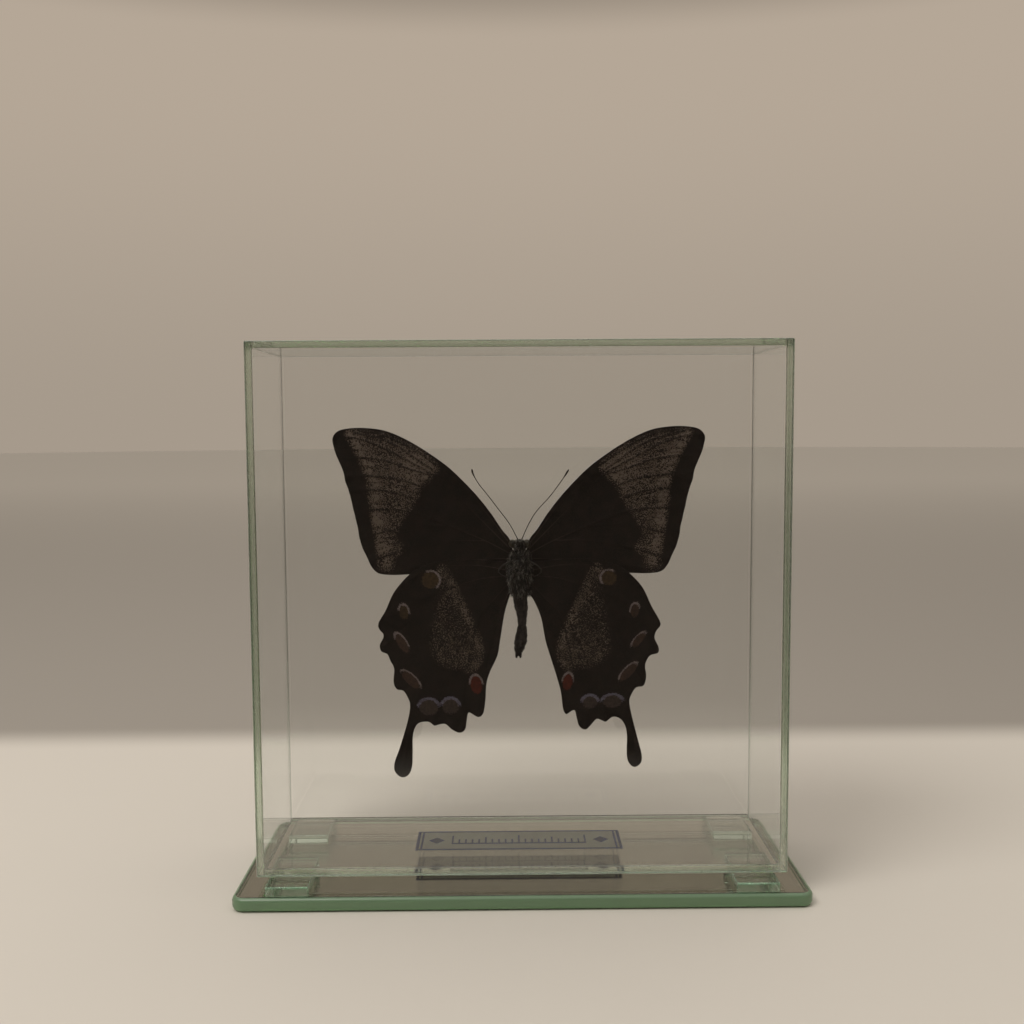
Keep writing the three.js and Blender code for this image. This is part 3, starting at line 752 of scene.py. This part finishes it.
def wing_piece(name, node_name, outline, veins, side, level, masks_of, spots):
    """A thin sheet cut to the wing's outline, swept, folded and veined, with its markings as attributes."""
    edge = smooth_line(outline, WING_EDGE_STEP, closed=True)
    low, high = edge.min(0) - WING_SHEET_MARGIN, edge.max(0) + WING_SHEET_MARGIN
    cells = np.ceil((high - low) / WING_CELL).astype(int)
    bpy.ops.object.select_all(action="DESELECT")
    bpy.ops.mesh.primitive_grid_add(x_subdivisions=int(cells[0]), y_subdivisions=int(cells[1]), size=1)
    sheet = bpy.context.object
    sheet.name = sheet.data.name = name
    size = Matrix.Diagonal((*(high - low), 1, 1))
    sheet.data.transform(Matrix.Translation((*(low + high) / 2, 0)) @ size)
    add_modifier(sheet, "SOLIDIFY", thickness=WING_THICKNESS, offset=0)
    mesh = bpy.data.meshes.new("cutter")
    mesh.from_pydata([(x, y, -CUTTER_DEPTH / 2) for x, y in edge], [], [tuple(range(len(edge)))])
    cutter = bpy.data.objects.new("cutter", mesh)
    bpy.context.scene.collection.objects.link(cutter)
    alone(cutter)
    bpy.ops.object.mode_set(mode="EDIT")
    bpy.ops.mesh.select_all(action="SELECT")
    bpy.ops.mesh.extrude_region_move(TRANSFORM_OT_translate={"value": (0, 0, CUTTER_DEPTH)})
    bpy.ops.mesh.select_all(action="SELECT")
    bpy.ops.mesh.normals_make_consistent(inside=False)
    bpy.ops.object.mode_set(mode="OBJECT")
    add_modifier(sheet, "BOOLEAN", object=cutter, operation="INTERSECT", solver="MANIFOLD")
    bpy.data.objects.remove(cutter)

    count = len(sheet.data.vertices)
    corners = np.empty(count * 3)
    sheet.data.vertices.foreach_get("co", corners)
    corners = corners.reshape(-1, 3)
    places, height = corners[:, :2], corners[:, 2]
    gaps = np.array([distance_to(smooth_line(vein, LINE_STEP), places) for vein in veins])
    order = np.argsort(gaps, axis=0)[:2]
    first, second = order.min(0), order.max(0)
    here = np.arange(count)
    lane = gaps[first, here] / (gaps[first, here] + gaps[second, here] + 1e-6)
    vein_gap = gaps.min(0)
    reach = np.hypot(*(places - WING_ROOT).T)
    rim = distance_to(np.vstack([edge, edge[:1]]), places)
    masks = {kind: np.zeros(count) for kind in ("ochre", "tan", "lunule", "rust", "lilac", "arc")}
    spot_masks(places, spots, masks)
    masks.update(masks_of(places, lane))
    masks.update({"vein": vein_gap, "reach": reach})
    for kind, values in masks.items():
        layer = sheet.data.attributes.new(kind, "FLOAT", "POINT")
        layer.data.foreach_set("value", values.astype(np.float32))
    # Streaks follow the spaces between a forewing's veins, each space with its own. A hindwing has clouds.
    own = first * 9.1 + second * 3.7
    ray = np.column_stack([lane * STREAKS_ACROSS + own, reach * STREAKS_ALONG, first * 1.0])
    if masks_of is hindwing_masks:
        ray = np.column_stack([places * CLOUDS, np.zeros(count)])
    layer = sheet.data.attributes.new("ray", "FLOAT_VECTOR", "POINT")
    layer.data.foreach_set("vector", ray.astype(np.float32).ravel())

    lift = WING_TIP_LIFT * (places[:, 0] / WING_HALF_SPAN) ** 2
    around = np.arctan2(places[:, 1], np.abs(places[:, 0]))
    far = np.hypot(*places.T) / WING_HALF_SPAN
    folds = FOLD_DEPTH * far * np.sin(FOLDS_PER_TURN * around)
    waves = np.sin(places[:, 0] * 0.9 + places[:, 1] * 1.3)
    ripple = RIPPLE_DEPTH * waves * soft(RIPPLE_WIDTH - rim, 0, RIPPLE_WIDTH)
    tent = TENT_DEPTH * np.sin(np.pi * lane) * soft(reach, 8, 25)
    relief = VEIN_RELIEF * fading(vein_gap, VEIN_HALF_WIDTH) * soft(rim, 0.2, 1.0)
    back = level + lift + folds + ripple + tent - height + np.where(height < 0, relief, -relief)
    placed = np.column_stack([side * places[:, 0], back, places[:, 1] + THORAX_CENTRE]) * MM
    sheet.data.vertices.foreach_set("co", placed.ravel())
    if side < 0:
        sheet.data.flip_normals()
    sheet.data.update()
    sheet.data.materials.clear()
    sheet.data.materials.append(underside)
    sheet.data.materials.append(upperside)
    for face in sheet.data.polygons:
        face.material_index = int(face.normal.y > UPPER_NORMAL)
    alone(sheet)
    bpy.ops.object.shade_smooth_by_angle(angle=SMOOTH_ANGLE)
    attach(sheet, "root")
    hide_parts(node_name)


def mask(tree, name):
    """One of the markings that a wing's mesh carries."""
    return node(tree, "Attribute", attribute_name=name).outputs["Fac"]


def blend(tree, factor, under, over):
    """One colour laid over another, as strongly as factor says."""
    return node(tree, "Mix", {0: factor, 6: under, 7: over}, data_type="RGBA").outputs[2]


def plus(tree, a, b):
    """The sum of two values."""
    return node(tree, "Math", {0: a, 1: b}, operation="ADD").outputs[0]


def times(tree, a, b):
    """The product of two values."""
    return node(tree, "Math", {0: a, 1: b}, operation="MULTIPLY").outputs[0]


def flecks(tree, amount, noise_value, softness):
    """Scales of another colour, more of them where amount is higher."""
    return ramp(tree, plus(tree, amount, noise_value), 1.0 - softness, 1.0 + softness)


def scale_patterns(tree):
    """What both sides share: powdery scales, streaks, and nearness to a vein, from one to nothing."""
    powder = ramp(tree, grain(tree, 3600, 2), 0.25, 0.75)
    rays = grain(tree, 1, 2, vector=node(tree, "Attribute", attribute_name="ray").outputs["Vector"])
    near_vein = ramp(tree, mask(tree, "vein"), 0.12, 0.5, 1.0, 0.0)
    return powder, rays, near_vein


MEMBRANE_DARK, MEMBRANE_LIGHT = (0.014, 0.0088, 0.0066, 1), (0.022, 0.014, 0.0104, 1)
POWDER_BROWN = (0.042, 0.028, 0.02, 1)
DUST_COLOUR = (0.275, 0.205, 0.16, 1)
VEIN_DARK, VEIN_PALE = (0.012, 0.008, 0.006, 1), (0.10, 0.07, 0.055, 1)
SPOT_COLOURS = {  # with the strength of each
    "ochre": ((0.092, 0.056, 0.026, 1), 0.85),
    "tan": ((0.094, 0.053, 0.038, 1), 0.85),
    "lunule": ((0.10, 0.070, 0.060, 1), 0.8),
    "rust": ((0.14, 0.026, 0.014, 1), 0.9),
    "lilac": ((0.34, 0.26, 0.25, 1), 0.85),
    "arc": ((0.24, 0.21, 0.27, 1), 0.85),
}
underside, tree, scales = new_material("wing underside")
powder, rays, near_vein = scale_patterns(tree)
ground = blend(tree, ramp(tree, grain(tree, 260, 3), 0.35, 0.7), MEMBRANE_DARK, MEMBRANE_LIGHT)
ground = blend(tree, ramp(tree, powder, 0.2, 1.0, 0.0, 0.4), ground, POWDER_BROWN)
amount = times(tree, mask(tree, "dust"), ramp(tree, rays, 0.3, 0.7, 0.6, 1.3))
amount = times(tree, amount, ramp(tree, near_vein, 0.0, 1.0, 1.0, 0.6))
amount = times(tree, amount, ramp(tree, grain(tree, 900, 2), 0.3, 0.7, 0.65, 1.25))
fine = ramp(tree, grain(tree, 3400, 1), 0.3, 0.7)
dusted = times(tree, flecks(tree, amount, fine, 0.2), ramp(tree, mask(tree, "dust"), 0.02, 0.16))
ground = blend(tree, times(tree, dusted, 0.85), ground, DUST_COLOUR)
dark_vein = times(tree, near_vein, ramp(tree, mask(tree, "dust"), 0.05, 0.3, 0.0, 0.35))
ground = blend(tree, dark_vein, ground, VEIN_DARK)
vein_ridge = ramp(tree, mask(tree, "vein"), 0.08, 0.2, 1.0, 0.0)
pale_vein = times(tree, vein_ridge, ramp(tree, mask(tree, "reach"), 3, 24, 0.5, 0.0))
ground = blend(tree, pale_vein, ground, VEIN_PALE)
speckle = ramp(tree, powder, 0, 1, -0.4, 0.4)
worn = grain(tree, 1300, 2)
for kind, (colour, strength) in SPOT_COLOURS.items():
    shown = ramp(tree, plus(tree, mask(tree, kind), speckle), 0.2, 0.8)
    shown = times(tree, shown, ramp(tree, worn, 0.3, 0.7, 0.7 * strength, 1.1 * strength))
    shown = times(tree, shown, ramp(tree, mask(tree, kind), 0.02, 0.25))
    ground = blend(tree, shown, ground, colour)
feed(tree, scales, {"Base Color": ground, "Roughness": 0.72, "Specular IOR Level": 0.25})
emboss(tree, scales, powder, 0.35, 0.05 * MM)

upperside, tree, scales = new_material("wing upper side")
powder, rays, near_vein = scale_patterns(tree)
field = times(tree, mask(tree, "blue"), ramp(tree, near_vein, 0, 1, 1.0, 0.4))
shining = flecks(tree, field, times(tree, powder, 0.6), 0.3)
streaks = blend(tree, powder, ramp(tree, rays, 0.3, 0.7, 0.0, 0.6), ramp(tree, rays, 0.3, 0.7, 0.4, 1.0))
tone = blend(tree, streaks, srgb(12, 92, 214), srgb(36, 142, 240))
shade = blend(tree, shining, srgb(16, 14, 16), tone)
polish = ramp(tree, shining, 0, 1, 0.7, 0.36)
feed(tree, scales, {"Base Color": shade, "Roughness": polish, "Metallic": times(tree, shining, 0.55)})
emboss(tree, scales, powder, 0.3, 0.05 * MM)

for side, word, hind_outline, hind_spots in (
    (-1, "left", HINDWING_LEFT_OUTLINE, HINDWING_LEFT_SPOTS),
    (1, "right", HINDWING_RIGHT_OUTLINE, HINDWING_RIGHT_SPOTS),
):
    wing_piece(
        f"wing_fore_{word}", f"forewing_{word}", FOREWING_OUTLINE, FOREWING_VEINS, side,
        WING_LEVEL_GAP, forewing_masks, {},
    )
    wing_piece(
        f"wing_hind_{word}", f"hindwing_{word}", hind_outline, HINDWING_VEINS, side,
        -WING_LEVEL_GAP, hindwing_masks, hind_spots,
    )

# ---- Feelers, legs and tongue ----
# Thin dark horn: ringed feelers that thicken to a hooked club, folded jointed legs, and the tongue coiled up
# like a watch spring under the head.

horn, tree, cuticle = new_material("dark horn")
tone = two_tones(tree, grain(tree, 1500, 3), (0.010, 0.007, 0.005, 1), (0.045, 0.03, 0.02, 1))
feed(tree, cuticle, {"Base Color": tone, "Roughness": 0.42})


def limb(name, node_name, knots, radii, step):
    """A closed rod along a smooth line through the knots, its radius taken from a list along it."""
    line = smooth_line(knots, step)
    along = np.linspace(0, 1, len(line))
    curve = bpy.data.curves.new(name, "CURVE")
    curve.dimensions = "3D"
    curve.bevel_depth = 1
    curve.bevel_resolution = 6
    curve.use_fill_caps = True
    run = curve.splines.new("POLY")
    run.points.add(len(line) - 1)
    thickness = np.interp(along, [a for a, _ in radii], [r for _, r in radii])
    for point, place, radius in zip(run.points, line, thickness):
        point.co = (place[0] * MM, place[1] * MM, (place[2] + THORAX_CENTRE) * MM, 1)
        point.radius = radius * MM
    rod = bpy.data.objects.new(name, curve)
    bpy.context.scene.collection.objects.link(rod)
    alone(rod)
    bpy.ops.object.convert(target="MESH")
    rod = bpy.context.object
    bpy.ops.object.mode_set(mode="EDIT")
    bpy.ops.mesh.select_all(action="SELECT")
    bpy.ops.mesh.remove_doubles(threshold=0.0005 * MM)
    bpy.ops.mesh.normals_make_consistent(inside=False)
    bpy.ops.object.mode_set(mode="OBJECT")
    rod.data.materials.append(horn)
    bpy.ops.object.shade_smooth_by_angle(angle=SMOOTH_ANGLE)
    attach(rod, "root")
    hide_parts(node_name)


BODY_FORWARD = 1.2  # how far in front of the wings the feelers stand
FEELER_STEP = 0.22
FEELERS = {
    "left": [(-0.5, 8.1), (-3, 12.8), (-6.1, 17), (-9.5, 21.5), (-12, 24.7), (-13.5, 27.4), (-13.9, 29)],
    "right": [(0.6, 8.1), (2.6, 12.5), (4.9, 16.3), (8.7, 20.5), (11.4, 24), (13.5, 27), (14.5, 28.7)],
}
FEELER_RINGS = 120
FEELER_RADIUS, FEELER_RING_RISE = 0.105, 0.03
FEELER_CLUB = [(0.91, 0.17), (0.95, 0.27), (0.985, 0.26), (1, 0.06)]
STALK_RINGS = 107  # those below the club
stalk = [(i / FEELER_RINGS, FEELER_RADIUS + FEELER_RING_RISE * (i % 3 > 0)) for i in range(STALK_RINGS)]
for word, knots in FEELERS.items():
    route = [(x, -BODY_FORWARD, z) for x, z in knots]
    limb(f"feeler_{word}", f"antenna_{word}", route, stalk + FEELER_CLUB, FEELER_STEP)

LEG_STEP = 0.25
LEG_ROUTES = {
    "front": [(1.1, -4.2, 3.6), (2.3, -5.3, 5.4), (3.3, -4.7, 3.4), (2.9, -4.9, 1.3)],
    "middle": [(2.0, -4.0, 2.2), (5.2, -3.4, 0.6), (6.2, -2.4, -1.4), (3.6, -3.7, -3)],
    "hind": [(1.5, -4.8, -1.6), (2.4, -4.7, -5.2), (1.4, -4.45, -8.6), (1.0, -4.0, -12.6)],
}
LEG_RADII = [
    (0, 0.26), (0.25, 0.3), (0.36, 0.16), (0.6, 0.17), (0.64, 0.24), (0.68, 0.14), (0.9, 0.11), (1, 0.05),
]
for row, knots in LEG_ROUTES.items():
    for word, side in (("left", -1), ("right", 1)):
        route = [(side * x, y, z) for x, y, z in knots]
        limb(f"{row}_leg_{word}", f"leg_{row}_{word}", route, LEG_RADII, LEG_STEP)

COIL_TURNS = 2.75
COIL_INNER, COIL_OUTER = 0.18, 0.95
COIL_X, COIL_Y, COIL_Z = 0.5, -4.75, 4.6
COIL_KNOTS = 12  # to a turn
COIL_STEP = 0.1
COIL_RADII = [(0, 0.05), (1, 0.11)]
coil = []
for i in range(int(COIL_TURNS * COIL_KNOTS) + 1):
    turn = math.tau * (i / COIL_KNOTS - COIL_TURNS % 1)
    radius = COIL_INNER + (COIL_OUTER - COIL_INNER) * i / (COIL_TURNS * COIL_KNOTS)
    coil.append((COIL_X, COIL_Y + radius * math.cos(turn), COIL_Z + radius * math.sin(turn)))
limb("tongue", "proboscis", coil, COIL_RADII, COIL_STEP)

# ---- Floor, light and camera ----
# A plain pale floor that runs into the colour of the surroundings, one large soft light overhead and to the
# left, and the rest of the light from all round. The side in front stays dark, and the floor there is
# painted dark as shade, so that the front pane is clear of reflections.

FLOOR_RADIUS = 6
FLOOR_GAP = 0.2 * MM  # between the floor and the part, so that the two don't touch
FLOOR_NEAR = (0.65, 0.61, 0.555, 1)
FLOOR_BEYOND, FLOOR_FAR = (0.34, 0.312, 0.28, 1), (0.51, 0.47, 0.42, 1)
# painted shade for the floor in front of the part
FLOOR_PAINTED_SHADE = (0.055, 0.045, 0.037, 1)
SURROUND = srgb(166, 154, 140)
SURROUND_HIGH = srgb(181, 167, 151)
SHADED_CORNICE = srgb(152, 140, 126)
ZENITH = (0.97, 0.92, 0.85, 1)
DARK_SIDE = (0.045, 0.035, 0.028, 1)
bpy.ops.object.select_all(action="DESELECT")
bpy.ops.mesh.primitive_circle_add(
    vertices=96, radius=FLOOR_RADIUS, fill_type="NGON", location=(0, 0, -FLOOR_GAP)
)
floor = bpy.context.object
floor.name = "floor"
# The floor is palest round the part, duller beyond it and pale again far off. In front it is dark: painted
# shade, as of a shaded side of the room.
material, tree, matt = new_material("pale floor")
at = node(tree, "SeparateXYZ", {"Vector": node(tree, "TexCoord").outputs["Object"]}).outputs
wide = ramp(tree, node(tree, "Math", {0: at["X"]}, operation="ABSOLUTE").outputs[0], 0.28, 0.6)
behind = ramp(tree, at["Y"], 0.125, 0.16)
outside = node(tree, "Math", {0: wide, 1: behind}, operation="MAXIMUM").outputs[0]
far_away = blend(tree, ramp(tree, at["Y"], 0.2, 2.4), FLOOR_BEYOND, FLOOR_FAR)
floor_colour = blend(tree, outside, FLOOR_NEAR, far_away)
# Painted shade: the floor in front of the part is darkened.
floor_colour = blend(tree, ramp(tree, at["Y"], -0.09, -0.17), floor_colour, FLOOR_PAINTED_SHADE)
feed(tree, matt, {"Base Color": floor_colour, "Roughness": 1, "Specular IOR Level": 0})
floor.data.materials.append(material)

world = bpy.data.worlds.new("surroundings")
bpy.context.scene.world = world
world.use_nodes = True
tree = world.node_tree
towards = node(tree, "SeparateXYZ", {"Vector": node(tree, "TexCoord").outputs["Generated"]}).outputs
sky = blend(tree, ramp(tree, towards["Z"], 0.0, 0.3), SURROUND, SURROUND_HIGH)
sky = blend(tree, ramp(tree, towards["Z"], 0.32, 0.36), sky, SHADED_CORNICE)
forward = ramp(tree, towards["Y"], -0.15, -0.7)
sky = blend(tree, forward, sky, DARK_SIDE)
sky = blend(tree, ramp(tree, towards["Z"], 0.46, 0.85), sky, ZENITH)
tree.links.new(sky, tree.nodes["Background"].inputs["Color"])

LAMP_PLACE, LAMP_AIM = Vector((-0.5, -0.45, 1.05)), Vector((0, 0, 0.08))
bpy.ops.object.light_add(type="AREA", location=LAMP_PLACE)
lamp = bpy.context.object
lamp.name = "soft_key"
lamp.data.shape = "DISK"
lamp.data.size = 0.6
lamp.data.energy = 6
lamp.data.color = (1.0, 0.96, 0.9)
lamp.rotation_euler = (LAMP_AIM - LAMP_PLACE).to_track_quat("-Z", "Y").to_euler()

CAMERA_PLACE = Vector((-4.877, -323.89, 133.567)) * MM
CAMERA_YAW, CAMERA_PITCH, CAMERA_ROLL = 0.0083, 0.0794, -0.0059
FOCAL_PIXELS, FRAME_PIXELS = 1100, 1024
SENSOR_WIDTH = 36
LIGHT_BOUNCES = 32  # enough for a way through all the glass and back from the silvering
level_ahead = Vector((math.sin(CAMERA_YAW), math.cos(CAMERA_YAW), 0))
ahead = level_ahead * math.cos(CAMERA_PITCH) - Vector((0, 0, math.sin(CAMERA_PITCH)))
level_right = Vector((math.cos(CAMERA_YAW), -math.sin(CAMERA_YAW), 0))
level_up = level_right.cross(ahead)
right = level_right * math.cos(CAMERA_ROLL) + level_up * math.sin(CAMERA_ROLL)
up = level_up * math.cos(CAMERA_ROLL) - level_right * math.sin(CAMERA_ROLL)
camera = bpy.data.objects.new("camera", bpy.data.cameras.new("camera"))
bpy.context.scene.collection.objects.link(camera)
camera.matrix_world = Matrix.Translation(CAMERA_PLACE) @ Matrix((right, up, -ahead)).transposed().to_4x4()
camera.data.sensor_width = SENSOR_WIDTH
camera.data.lens = SENSOR_WIDTH * FOCAL_PIXELS / FRAME_PIXELS
bpy.context.scene.camera = camera
bpy.context.scene.view_settings.view_transform = "Standard"
for kind in ("max_bounces", "transmission_bounces", "glossy_bounces"):
    setattr(bpy.context.scene.cycles, kind, LIGHT_BOUNCES)
